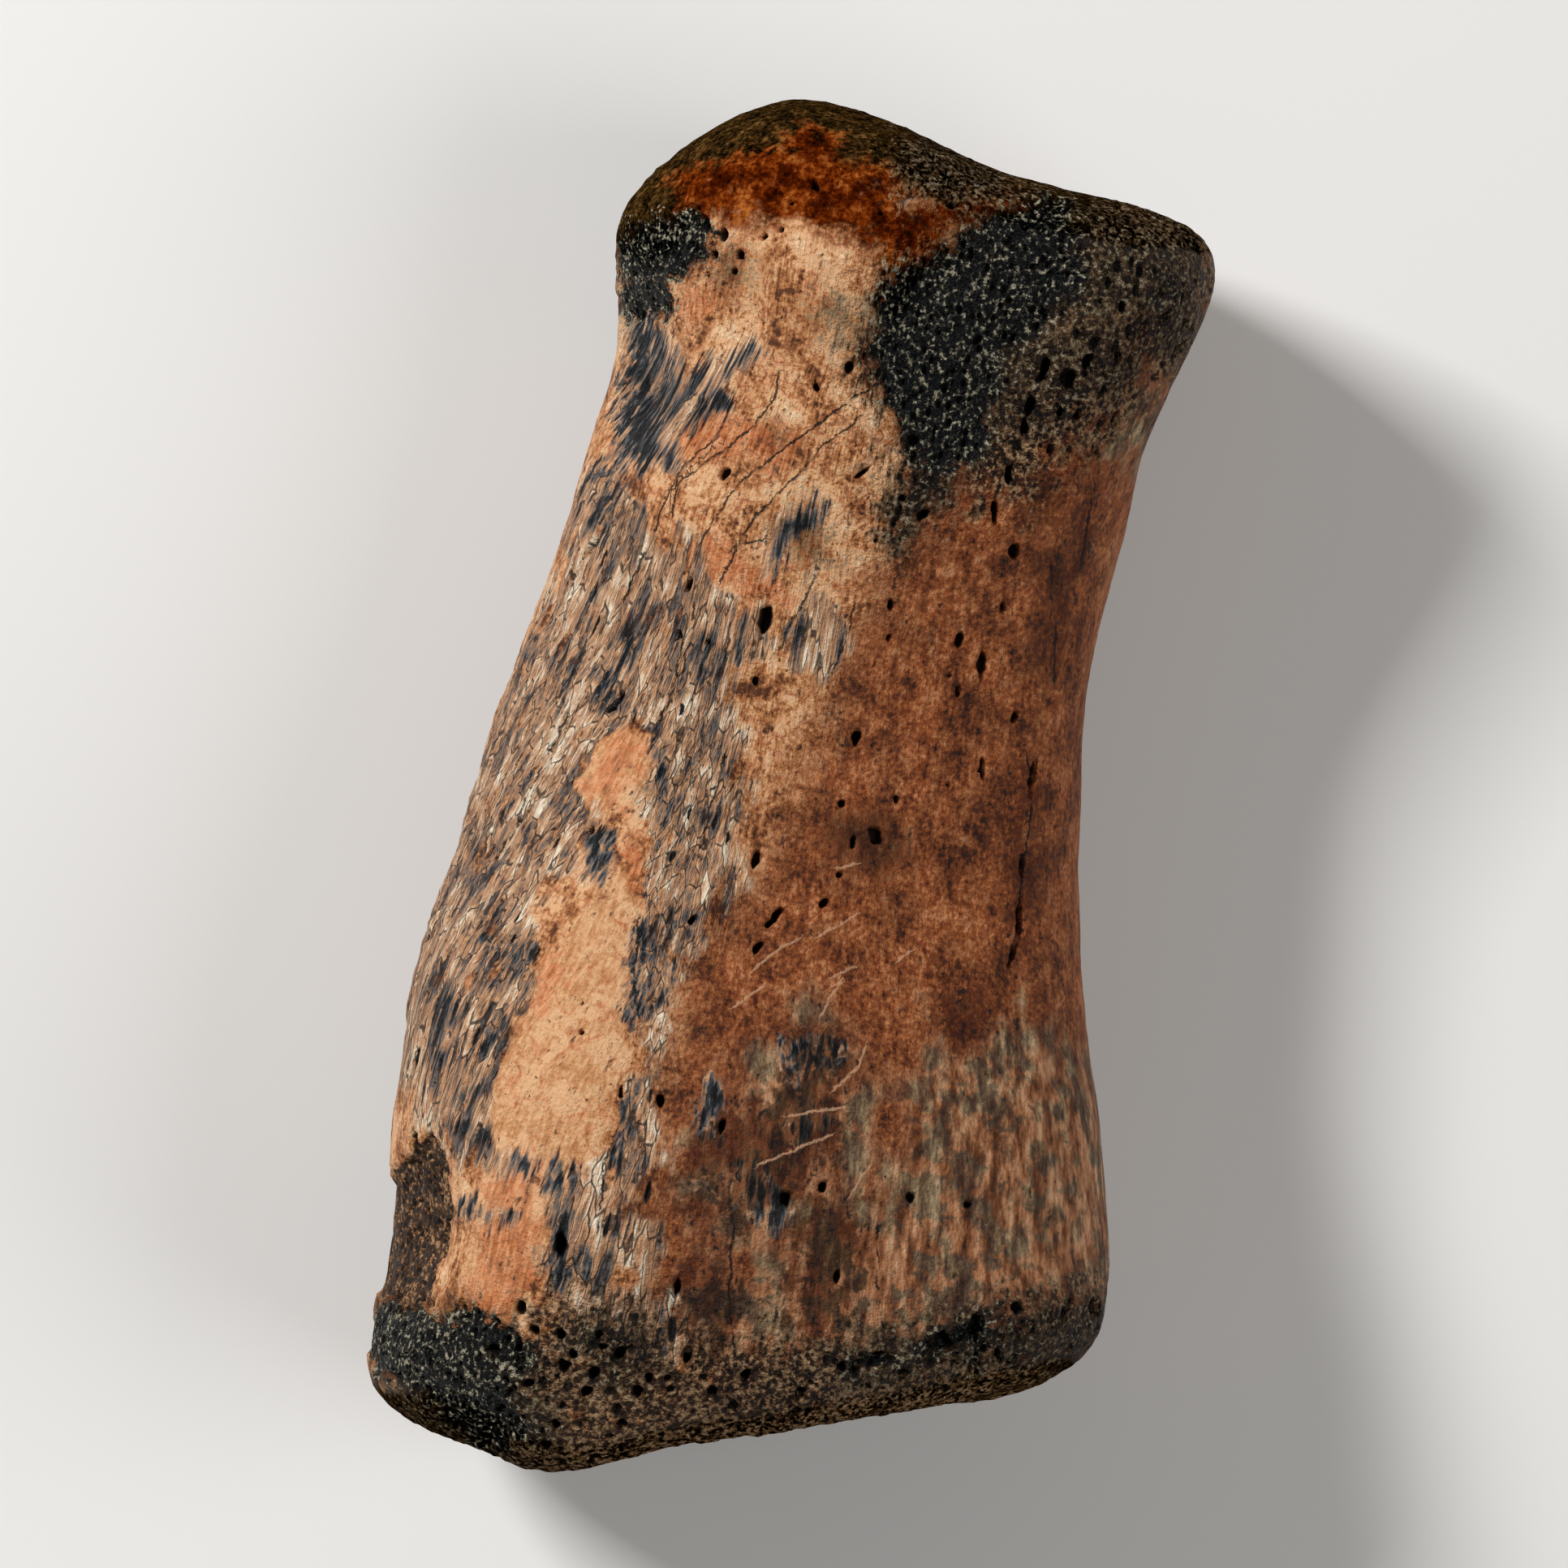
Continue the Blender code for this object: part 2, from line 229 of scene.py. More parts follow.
# Holes: (x, y, half width, half length, degrees that it leans to the right)
HOLES = [
    (943, 768, 11, 16, 15), (893, 590, 5, 10, 35), (1005, 487, 7, 5, 60), (1045, 462, 6, 9, 15),
    (1180, 791, 6, 9, 15), (1208, 821, 6, 18, 5), (1179, 853, 4, 6, 10), (1168, 834, 3, 3, 0),
    (1056, 909, 6, 10, 15), (1037, 989, 5, 5, 40), (1104, 984, 4, 5, 0), (933, 1057, 6, 11, 15),
    (1166, 967, 3, 3, 0), (1247, 684, 6, 10, 0), (1223, 635, 4, 16, 0), (1096, 748, 4, 7, 0),
    (1093, 788, 3, 4, 0), (1233, 750, 3, 8, 5), (1249, 884, 4, 7, 25), (1208, 947, 3, 15, 0),
    (1270, 958, 4, 21, 10), (732, 1022, 5, 6, 20), (932, 841, 5, 6, 0), (761, 863, 4, 19, 35),
    (718, 690, 4, 34, 30), (849, 722, 3, 9, 20), (836, 785, 3, 7, 20), (874, 793, 3, 5, 20),
    (721, 1230, 3, 4, 0), (721, 1265, 3, 3, 0), (892, 1378, 5, 9, 20), (819, 1346, 6, 8, 0),
    (857, 1130, 4, 7, 30), (956, 1126, 5, 15, 38), (935, 1163, 4, 12, 38), (1079, 1029, 12, 9, 60),
    (1051, 1037, 4, 9, 10), (1035, 1076, 5, 4, 0), (1015, 1110, 5, 7, 50), (1254, 1128, 4, 23, 3),
    (1246, 1174, 4, 14, 20), (1257, 1064, 3, 15, 0), (970, 1466, 9, 12, 0), (1120, 1467, 6, 7, 0),
    (736, 1677, 8, 8, 0), (742, 1630, 6, 5, 0), (696, 1630, 8, 6, 60), (665, 1624, 7, 6, 0),
    (647, 1597, 8, 10, 30), (609, 1649, 10, 8, 0), (643, 1646, 6, 7, 0), (712, 1655, 6, 6, 0),
    (804, 1683, 6, 6, 0), (826, 1683, 4, 4, 0), (678, 1767, 8, 7, 0), (838, 1572, 5, 11, 15),
    (696, 1522, 8, 15, 5), (748, 1645, 6, 5, 0), (1151, 1699, 6, 5, 0), (1160, 1642, 14, 10, 60),
    (1200, 1626, 9, 17, 10), (1346, 1606, 8, 13, 0), (1083, 1658, 7, 6, 0), (987, 1702, 7, 6, 0),
    (1250, 1600, 7, 8, 0), (1036, 1671, 5, 8, 10), (975, 262, 4, 4, 0), (1003, 240, 9, 5, 60),
    (935, 195, 6, 5, 0), (1170, 262, 8, 6, 0), (1083, 275, 4, 4, 0), (1060, 590, 3, 13, 55),
    (1128, 548, 8, 9, 0), (1265, 508, 7, 14, 8), (1240, 590, 5, 12, 5), (1312, 475, 12, 12, 40),
    (1284, 460, 6, 10, 10), (1370, 522, 5, 8, 20), (1135, 640, 6, 10, 50), (1110, 620, 5, 5, 0),
    (1100, 652, 3, 3, 0), (1078, 672, 3, 3, 0), (890, 300, 7, 10, 10), (912, 325, 5, 6, 0),
    (770, 1335, 3, 8, 0), (1013, 1452, 6, 9, 10), (1190, 1475, 5, 5, 0), (1030, 1560, 5, 12, 5),
    (1324, 517, 5, 9, 20), (1335, 453, 6, 9, 20), (1281, 469, 5, 9, 5), (1259, 531, 6, 11, 5),
    (1302, 515, 4, 8, 5), (1378, 388, 5, 7, 0), (1373, 450, 4, 8, 10), (1290, 560, 4, 9, 0),
    (1345, 560, 4, 10, 10), (866, 282, 7, 9, 0), (880, 322, 6, 6, 0), (905, 345, 4, 5, 30),
    (942, 303, 4, 5, 40), (962, 294, 3, 4, 0), (872, 350, 3, 5, 0), (858, 262, 5, 5, 0),
    (826, 262, 5, 5, 0), (795, 258, 5, 4, 0),
    (700, 1668, 9, 9, 0), (728, 1700, 8, 7, 0), (770, 1652, 8, 8, 0), (790, 1700, 7, 8, 0),
    (850, 1660, 6, 7, 0), (880, 1700, 7, 6, 0), (655, 1690, 8, 8, 0), (920, 1680, 6, 7, 0),
    (770, 1740, 7, 6, 0), (690, 1740, 6, 7, 0), (1110, 1680, 7, 6, 0), (1225, 1660, 6, 8, 0),
]

# How far the marks' edges wander, as (pixels, wavelength)
EDGE_WANDER = [(14, 1.5), (5, 0.5)]

# The hidden side has the marks mirrored, and narrower by this factor
MIRROR_FACTOR = 1.05

# Which way the fibres run: how far their lines swing round the shaft, on its left, on its right and
# near the knuckle, as measured at a radius from an axis at a height
LEFT_SWING = 6.5
RIGHT_SWING = 1.4
KNUCKLE_SWING = 0.06
SWING_RADIUS = 14
AXIS_HEIGHT = 12

# Relief, as heights and depths over the solid's surface, and as sizes of pores and gaps
BROAD_WEAR = 0.06
FINE_WEAR = 0.03
SPONGY_ROUGHNESS = 0.10
DOME_ROUGHNESS = 0.06
SPONGY_DEPTH = 0.30
SPALL_DEPTH = 0.38
FIBRE_DEPTH = 0.10
FIBRE_RIDGE = 0.22
GAP_DEPTH = 0.08
PORE_DEPTH = 0.34
PORE_CELL = 0.54
WIDE_PORE_CELL = 0.85
SLOT_CELL = 0.95
SLOT_DEPTH = 0.18
HOLE_DEPTH = 0.75
CRACK_DEPTH = 0.035
SCRATCH_HEIGHT = 0.05
HIDDEN_PORE_CELL = 2.6

# How many pixels from its line a crack or scratch reaches, and the largest distance that is stored
CRACK_REACH = 12
SCRATCH_REACH = 10
FARTHEST = 20

# The sizes of patterns in the material, and how high its bump is
BEND_SIZE = 0.62
SLIVER_CELL = 0.42
FINE_PORE_CELL = 0.30
BUMP_HEIGHT = 0.30

# The floor lies this far under the bone, so that no two faces share a plane
FLOOR_GAP = 0.02


def photo_axes():
    """The photo's right and up, in the part's frame."""
    return np.array([np.cos(LEAN), np.sin(LEAN)]), np.array([-np.sin(LEAN), np.cos(LEAN)])


def to_photo(x, y):
    """The pixels over places in the part's frame."""
    right, up = photo_axes()
    return (ORIGIN_PIXEL[0] + (x * right[0] + y * right[1]) / MM_PER_PIXEL,
            ORIGIN_PIXEL[1] - (x * up[0] + y * up[1]) / MM_PER_PIXEL)


def from_photo(across, down):
    """The place in the part's frame under a pixel."""
    right, up = photo_axes()
    place = right * (across - ORIGIN_PIXEL[0]) + up * (ORIGIN_PIXEL[1] - down)
    return place * MM_PER_PIXEL


def ease(value, low, high):
    """0 below low and 1 above high, smoothly between them."""
    t = np.clip((value - low) / (high - low), 0, 1)
    return t * t * (3 - 2 * t)


def noise_at(points, wavelength, shift=0.0):
    """Smooth noise from about -1 to 1, at each point."""
    return np.array([noise.noise(place) for place in (points / wavelength + shift).tolist()])


def patches_at(points):
    """Cloudy noise from 0 to 1, with 0.5 in the middle, at each point."""
    waves = [(1.0, 2.0), (0.6, 1.0), (0.36, 0.5)]
    cloud = sum(share * noise_at(points, wavelength) for share, wavelength in waves)
    return 0.5 + 0.5 * cloud / sum(share for share, _ in waves)


def pores_at(points, cell):
    """0 in the middle of a pore to 1 where none is near, at each point."""
    near = np.array([noise.voronoi(place)[0][0] for place in (points / cell).tolist()])
    return np.clip(near / 0.5, 0, 1)


def to_segment(x, y, start, end):
    """How far pixels are from a segment, how far along it, and on which side."""
    run_x, run_y = end[0] - start[0], end[1] - start[1]
    length = max(run_x**2 + run_y**2, 1e-6)
    along = np.clip(((x - start[0]) * run_x + (y - start[1]) * run_y) / length, 0, 1)
    off_x = x - start[0] - along * run_x
    off_y = y - start[1] - along * run_y
    return np.hypot(off_x, off_y), along, np.sign(run_x * off_y - run_y * off_x)


def strokes_at(x, y, strokes, soft):
    """1 inside the strokes and 0 outside, over an edge of so many pixels."""
    outside = np.full(len(x), np.inf)
    for stroke in strokes:
        for start, end in zip(stroke, stroke[1:] or stroke):
            apart, along, _ = to_segment(x, y, start, end)
            outside = np.minimum(outside, apart - start[2] - along * (end[2] - start[2]))
    return ease(-outside, -soft / 2, soft / 2)


def lines_at(x, y, lines):
    """The distance in pixels to the nearest line, below 0 on one side of it and above on the other."""
    nearest = np.full(len(x), np.inf)
    signed = np.full(len(x), np.inf)
    for line in lines:
        for start, end in zip(line, line[1:]):
            apart, _, side = to_segment(x, y, start, end)
            signed = np.where(apart < nearest, apart * np.where(side < 0, -1, 1), signed)
            nearest = np.minimum(nearest, apart)
    return signed


def near_lines(points, marks, lines, wander, shift, reach):
    """The signed distance to lines that wander, and 1 near them, falling to 0 at their reach."""
    apart = lines_at(marks["x"], marks["y"], lines) + wander * noise_at(points, 0.6, shift)
    near = (1 - ease(np.abs(apart), 0.5 * reach, reach)) * marks["seen"]
    return np.clip(apart, -FARTHEST, FARTHEST), near


def holes_at(x, y):
    """0 in the middle of the nearest hole, 1 at its rim, and 2 or more beyond it."""
    nearest = np.full(len(x), 4.0)
    for across, down, half_width, half_length, lean in HOLES:
        turn = np.radians(lean)
        wide = (x - across) * np.cos(turn) + (y - down) * np.sin(turn)
        long = (x - across) * np.sin(turn) - (y - down) * np.cos(turn)
        nearest = np.minimum(nearest, np.hypot(wide / half_width, long / half_length))
    return nearest


def grain_at(points):
    """The points turned about the shaft, so that the fibres run along Y."""
    x, y, z = points.T
    on_left = ease(-x, -3, 11)
    swing = LEFT_SWING * (np.tanh(y / 20) + 0.6) * on_left - RIGHT_SWING * (y / 30) * (1 - on_left)
    swing += KNUCKLE_SWING * np.clip(y - 12, 0, 10) ** 2 * on_left
    turn = swing / SWING_RADIUS
    height = z - AXIS_HEIGHT
    return np.column_stack([x * np.cos(turn) - height * np.sin(turn), y,
                            x * np.sin(turn) + height * np.cos(turn)])


def slots_at(grain):
    """1 in the narrow gaps that run along the fibres, 0 elsewhere."""
    return 1 - ease(pores_at(grain * (1, 0.15, 1), SLOT_CELL), 0.10, 0.36)


def wander_at(points, shift=0.0):
    """How many pixels the marks' edges wander at each point."""
    return sum(reach * noise_at(points, wavelength, shift) for reach, wavelength in EDGE_WANDER)


def surface_marks(points, normals):
    """Every mark's strength at each point. The hidden side has the same marks, mirrored."""
    wander_x, wander_y = wander_at(points), wander_at(points, 7.3)
    seen = ease(normals[:, 2] + 0.25 * noise_at(points, 3.0, 3.1), -0.35, 0.05)
    x, y = to_photo(points[:, 0], points[:, 1])
    mirrored_x, mirrored_y = to_photo(-points[:, 0] * MIRROR_FACTOR, points[:, 1])
    marks = {"seen": seen, "x": x, "y": y}
    for name, (strokes, soft) in MARKS.items():
        shown = strokes_at(x + wander_x, y + wander_y, strokes, soft)
        hidden = strokes_at(mirrored_x + wander_x, mirrored_y + wander_y, strokes, soft)
        marks[name] = shown * seen + hidden * (1 - seen)
    wrist_face = ease(-normals[:, 1], 0.45, 0.8) * ease(-points[:, 1], 18, 24)
    knuckle_face = ease(normals[:, 1], 0.35, 0.7) * ease(points[:, 1], 22, 27)
    marks["dome"] = np.maximum(marks["dome"], np.maximum(wrist_face, knuckle_face))
    rough_end = np.maximum(wrist_face, 0.5 * knuckle_face * (1 - seen))
    marks["grainy"] = np.maximum(marks["grainy"], rough_end * ease(noise_at(points, 4.0, 1.7), -0.3, 0.2))
    for name in ("fibres", "brown", "mottled", "smooth", "cream", "orange"):
        marks[name] *= 1 - np.maximum(wrist_face, knuckle_face)
    return marks


def detail_level(points, normals):
    """How many times the faces with these middles and normals are cut finer: 0, 1 or 2."""
    marks = surface_marks(points, normals)
    holes = (holes_at(marks["x"], marks["y"]) < 1.7) & (marks["seen"] > 0.5)
    slots = slots_at(grain_at(points)) * marks["fibres"] * (1 - marks["smooth"]) > 0.2
    upward = normals[:, 2]
    finest = (holes | slots | (marks["spongy"] > 0.45)) & (upward > 0.1)
    finer = (upward > 0.25) | ((marks["spongy"] + marks["grainy"] > 0.5) & (upward > 0))
    return np.where(finest, 2, np.where(finer, 1, 0))


def smooth_skin():
    """The solid's surface in small even faces, with its facets smoothed off."""
    skin = bpy.data.objects.new("skin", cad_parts["finger_bone"].data.copy())
    bpy.context.scene.collection.objects.link(skin)
    weld = skin.modifiers.new("weld", "WELD")
    weld.merge_threshold = WELD_REACH * MM
    finer = skin.modifiers.new("finer", "SUBSURF")
    finer.levels = finer.render_levels = 1
    even = skin.modifiers.new("even", "REMESH")
    even.mode = "VOXEL"
    even.voxel_size = SPACING * MM
    soft = skin.modifiers.new("soft", "SMOOTH")
    soft.iterations = SMOOTHING_ROUNDS
    evaluated = skin.evaluated_get(bpy.context.evaluated_depsgraph_get())
    mesh = bpy.data.meshes.new_from_object(evaluated)
    bpy.data.objects.remove(skin)
    return mesh


def cut_finer(bm):
    """Cuts the faces that carry small marks once or twice more."""
    for level in (1, 2):
        middles = np.array([face.calc_center_median() for face in bm.faces]) / MM
        normals = np.array([face.normal for face in bm.faces])
        wanted = detail_level(middles, normals) >= level
        edges = {edge for face, cut in zip(bm.faces, wanted) if cut for edge in face.edges}
        bmesh.ops.subdivide_edges(bm, edges=list(edges), cuts=1, use_grid_fill=True)
        bm.normal_update()


def pits_at(points, grain, marks, spongy, pore_room):
    """How deep in a pore each point is: narrow pores, wide ones, and rare ones on the hidden side."""
    pore = pores_at(grain * (1, 0.75, 1), PORE_CELL)
    pit = (1 - ease(pore, 0.25, 0.85)) * pore_room
    wide_pore = pores_at(grain * (1, 0.65, 1), WIDE_PORE_CELL)
    wide_room = marks["grainy"] * (1 - spongy) * ease(noise_at(points, 2.2, 5.5), -0.4, 0.1)
    pit = np.maximum(pit, (1 - ease(wide_pore, 0.34, 0.74)) * wide_room)
    rare = pores_at(points, HIDDEN_PORE_CELL)
    return np.maximum(pit, (1 - ease(rare, 0.10, 0.24)) * (1 - marks["seen"]))


def relief(points, grain, marks):
    """How far the surface stands out at each point. The small marks that show it are added to the marks."""
    fibre_space = grain * (1, 0.09, 1)
    strand = noise_at(fibre_space, 0.75, 2.2) + 0.45 * noise_at(fibre_space, 0.42)
    gap = 1 - ease(np.abs(strand), 0.0, 0.2)
    rough = noise_at(points, 0.7) + 0.5 * noise_at(points, 0.3)
    layer = ease(marks["smooth"], 0.35, 0.6)
    bare_fibres = marks["fibres"] * (1 - layer)
    spongy = ease(marks["spongy"] + 0.3 * marks["grainy"], 0.35, 0.75)
    grainy = marks["grainy"] * ease(noise_at(points, 1.1, 8.0), -0.25, 0.3)
    pore_room = np.clip(spongy + 0.9 * grainy + marks["spall"], 0, 1)

    height = BROAD_WEAR * noise_at(points, 2.6) + FINE_WEAR * rough
    height += bare_fibres * (FIBRE_RIDGE * strand - GAP_DEPTH * gap - FIBRE_DEPTH)
    height += (1 - bare_fibres) * (1 - pore_room) * FINE_WEAR * strand
    height -= SPONGY_DEPTH * ease(marks["spongy"], 0.35, 0.65) + SPALL_DEPTH * ease(marks["spall"], 0.3, 0.7)
    height += SPONGY_ROUGHNESS * rough * np.clip(spongy + marks["spall"], 0, 1)
    height += DOME_ROUGHNESS * rough * marks["dome"]

    pit = pits_at(points, grain, marks, spongy, pore_room)
    hole = 1 - ease(holes_at(marks["x"], marks["y"]) + 0.45 * noise_at(points, 0.35, 9.0), 0.55, 1.15)
    hole *= marks["seen"]
    slot = slots_at(grain) * np.clip(bare_fibres + 0.2 * marks["mottled"], 0, 1)
    height -= PORE_DEPTH * pit + HOLE_DEPTH * hole + SLOT_DEPTH * slot

    crack, crack_near = near_lines(points, marks, CRACKS, 3.5, 4.0, CRACK_REACH)
    height -= CRACK_DEPTH * (1 - ease(np.abs(crack), 1, 4)) * crack_near * ease(rough, -0.5, 0.4)
    scratch, scratch_near = near_lines(points, marks, SCRATCHES, 2, 6.0, SCRATCH_REACH)
    height += SCRATCH_HEIGHT * (1 - ease(np.abs(scratch), 1, 5)) * scratch_near

    marks.update(pit=np.maximum(pit, hole), slot=slot, strand=strand)
    marks.update(crack=crack, crack_near=crack_near, scratch=scratch, scratch_near=scratch_near)
    return height


def keep_in_box(points):
    """Holds points inside the solid's box."""
    low, high = (np.array(corner) / MM for corner in CAD_BOX)
    return np.clip(points, low, high)


def store(mesh, name, values):
    """Writes one number, or one vector, for each point of a mesh."""
    vector = values.ndim == 2
    layer = mesh.attributes.new(name, "FLOAT_VECTOR" if vector else "FLOAT", "POINT")
    layer.data.foreach_set("vector" if vector else "value", np.ravel(values).astype(np.float32))


def bone_surface():
    """The bone's detailed surface, with its marks stored on its points."""
    bm = bmesh.new()
    bm.from_mesh(smooth_skin())
    bm.normal_update()
    cut_finer(bm)
    points = np.array([vert.co for vert in bm.verts]) / MM
    normals = np.array([vert.normal for vert in bm.verts])
    marks = surface_marks(points, normals)
    grain = grain_at(points)
    height = relief(points, grain, marks)
    moved = keep_in_box(points + normals * height[:, None])
    for vert, place in zip(bm.verts, moved):
        vert.co = Vector(place) * MM
    bmesh.ops.triangulate(bm, faces=bm.faces)
    mesh = bpy.data.meshes.new("finger_bone_surface")
    bm.to_mesh(mesh)
    bm.free()
    mesh.shade_smooth()
    for name in list(MARKS) + ["pit", "slot", "strand", "crack", "crack_near", "scratch", "scratch_near"]:
        store(mesh, name, marks[name])
    store(mesh, "grain", grain)
    store(mesh, "patch", patches_at(points))
    bend = [0.5 * noise_at(points, BEND_SIZE, shift) for shift in (2.0, 5.0, 11.0)]
    store(mesh, "bend", np.column_stack(bend))
    bone = bpy.data.objects.new("finger_bone_surface", mesh)
    bpy.context.scene.collection.objects.link(bone)
    print("bone surface:", len(mesh.polygons), "triangles")
    return bone


def colour(red, green, blue):
    """A colour given as screen values from 0 to 255, in the values that the shader uses."""
    shares = np.array([red, green, blue]) / 255
    linear = np.where(shares <= 0.04045, shares / 12.92, ((shares + 0.055) / 1.055) ** 2.4)
    return (*linear.tolist(), 1.0)


class Nodes:
    """Short ways to add and join a material's nodes."""

    def __init__(self, material):
        material.use_nodes = True
        self.tree = material.node_tree
        self.shader = self.tree.nodes["Principled BSDF"]

    def add(self, kind, inputs=(), **settings):
        """A node, with its settings and with values or sockets fed to its inputs by place."""
        node = self.tree.nodes.new(kind)
        for name, value in settings.items():
            setattr(node, name, value)
        for place, value in inputs:
            self.feed(node.inputs[place], value)
        return node

    def feed(self, socket, value):
        """Links a socket, or sets a plain value."""
        if isinstance(value, bpy.types.NodeSocket):
            self.tree.links.new(value, socket)
        else:
            socket.default_value = value

    def math(self, operation, first, second=0.0):
        return self.add("ShaderNodeMath", [(0, first), (1, second)], operation=operation).outputs[0]

    def times(self, first, second):
        return self.math("MULTIPLY", first, second)

    def plus(self, first, second):
        return self.math("ADD", first, second)

    def less(self, first, second):
        return self.math("SUBTRACT", first, second)

    def most(self, first, second):
        return self.math("MAXIMUM", first, second)

    def size(self, value):
        """A value without its sign."""
        return self.math("ABSOLUTE", value)

    def ease(self, value, low, high, to_low=0.0, to_high=1.0):
        """Smoothly from one value to another as the input goes from low to high."""
        inputs = [("Value", value), ("From Min", low), ("From Max", high), ("To Min", to_low),
                  ("To Max", to_high)]
        return self.add("ShaderNodeMapRange", inputs, interpolation_type="SMOOTHSTEP").outputs[0]

    def noise(self, space, wavelength, detail=2.0, roughness=0.5):
        """Noise from 0 to 1, with 0.5 in the middle."""
        inputs = [("Vector", space), ("Scale", 1 / wavelength), ("Detail", detail), ("Roughness", roughness)]
        return self.add("ShaderNodeTexNoise", inputs).outputs["Fac"]

    def cells(self, space, size, feature="F1"):
        """The distance to the middle or the edge of the cell that a point is in."""
        inputs = [("Vector", space), ("Scale", 1 / size)]
        return self.add("ShaderNodeTexVoronoi", inputs, feature=feature).outputs["Distance"]

    def flakes(self, space, size):
        """A random value from 0 to 1 for each cell of a broken pattern."""
        cells = self.add("ShaderNodeTexVoronoi", [("Vector", space), ("Scale", 1 / size)])
        return self.add("ShaderNodeSeparateColor", [(0, cells.outputs["Color"])]).outputs[0]

    def tone(self, gain, *shares):
        """Patterns added up by their shares, with the swing about 0.5 made so many times larger."""
        total = 0.5
        for pattern, share in shares:
            total = self.plus(total, self.times(self.less(pattern, 0.5), share * gain))
        return total

    def broken(self, value, amount, *patterns):
        """A value made uneven by so much of some patterns, so that its edge is broken up."""
        total = patterns[0]
        for pattern in patterns[1:]:
            total = self.plus(total, pattern)
        return self.plus(value, self.times(self.less(total, 0.5 * len(patterns)), amount))

    def bent(self, space, bend, amount):
        """Space moved by a vector pattern, so that patterns in it have no straight edges."""
        inputs = [(0, bend), (1, (amount,) * 3), (2, space)]
        return self.add("ShaderNodeVectorMath", inputs, operation="MULTIPLY_ADD").outputs[0]

    def stretched(self, space, scale):
        return self.add("ShaderNodeVectorMath", [(0, space), (1, scale)], operation="MULTIPLY").outputs[0]

    def blend(self, share, first, second, way="MIX"):
        inputs = [("Factor", share), (6, first), (7, second)]
        return self.add("ShaderNodeMix", inputs, data_type="RGBA", blend_type=way).outputs[2]

    def ramp(self, value, *stops):
        """Colours at places from 0 to 1."""
        node = self.add("ShaderNodeValToRGB", [(0, value)])
        elements = node.color_ramp.elements
        while len(elements) < len(stops):
            elements.new(1.0)
        for element, (place, tint) in zip(elements, stops):
            element.position = place
            element.color = tint
        return node.outputs[0]

    def mark(self, name):
        """A number that is stored on the surface's points."""
        return self.add("ShaderNodeAttribute", attribute_name=name).outputs["Fac"]

    def vector(self, name):
        """A vector that is stored on the surface's points."""
        return self.add("ShaderNodeAttribute", attribute_name=name).outputs["Vector"]

    def bump(self, height, distance):
        """A bump of so many millimetres."""
        inputs = [("Height", height), ("Distance", distance * MM), ("Strength", 1.0)]
        return self.add("ShaderNodeBump", inputs).outputs[0]


class Patterns:
    """The patterns that the layers of colour share. Noise runs from 0 to 1, with 0.5 in the middle."""

    def __init__(self, n):
        place = n.add("ShaderNodeTexCoord").outputs["Object"]
        self.space = n.stretched(place, (1 / MM, 1 / MM, 1 / MM))
        self.grain = n.vector("grain")
        bend = n.vector("bend")
        fibre_space = n.stretched(self.grain, (1, 0.12, 1))
        dash_space = n.stretched(self.grain, (1, 0.30, 1))
        self.patch = n.mark("patch")
        self.mottle = n.noise(n.bent(self.space, bend, 0.8), 0.9, 3, 0.65)
        self.speck = n.noise(self.space, 0.26, 2, 0.65)
        self.wide_streak = n.noise(fibre_space, 0.8, 2, 0.6)
        self.streak = n.noise(fibre_space, 0.26, 2, 0.65)
        self.dash = n.noise(dash_space, 0.42, 2, 0.65)

        # Slivers of bone along the fibres, and the distance to their edges
        sliver_space = n.bent(fibre_space, bend, 0.16)
        self.sliver = n.flakes(sliver_space, SLIVER_CELL)
        self.sliver_gap = n.cells(sliver_space, SLIVER_CELL, "DISTANCE_TO_EDGE")

        # 0 on the lines between light and dark patches
        self.contour = n.size(n.less(self.patch, 0.5))

        # The unbroken outer layer: marbled near the knuckle, and polished further down
        along = n.add("ShaderNodeSeparateXYZ", [(0, self.space)]).outputs[1]
        self.marbled = n.times(n.ease(along, 2.0, 8.0), n.mark("smooth"))
        self.polished = n.less(n.mark("smooth"), self.marbled)

        # Where the fibres are bare, and how high their strands stand
        fibre_edge = n.broken(n.mark("fibres"), 2.2, self.wide_streak, self.patch)
        fibres = n.times(n.ease(fibre_edge, 0.3, 0.7), n.ease(n.mark("fibres"), 0.0, 0.2))
        kept = n.ease(n.broken(n.mark("smooth"), 1.8, self.wide_streak), 0.3, 0.7)
        self.bare = n.times(fibres, n.less(1.0, kept))
        self.strand = n.broken(n.mark("strand"), 1.0, self.streak)


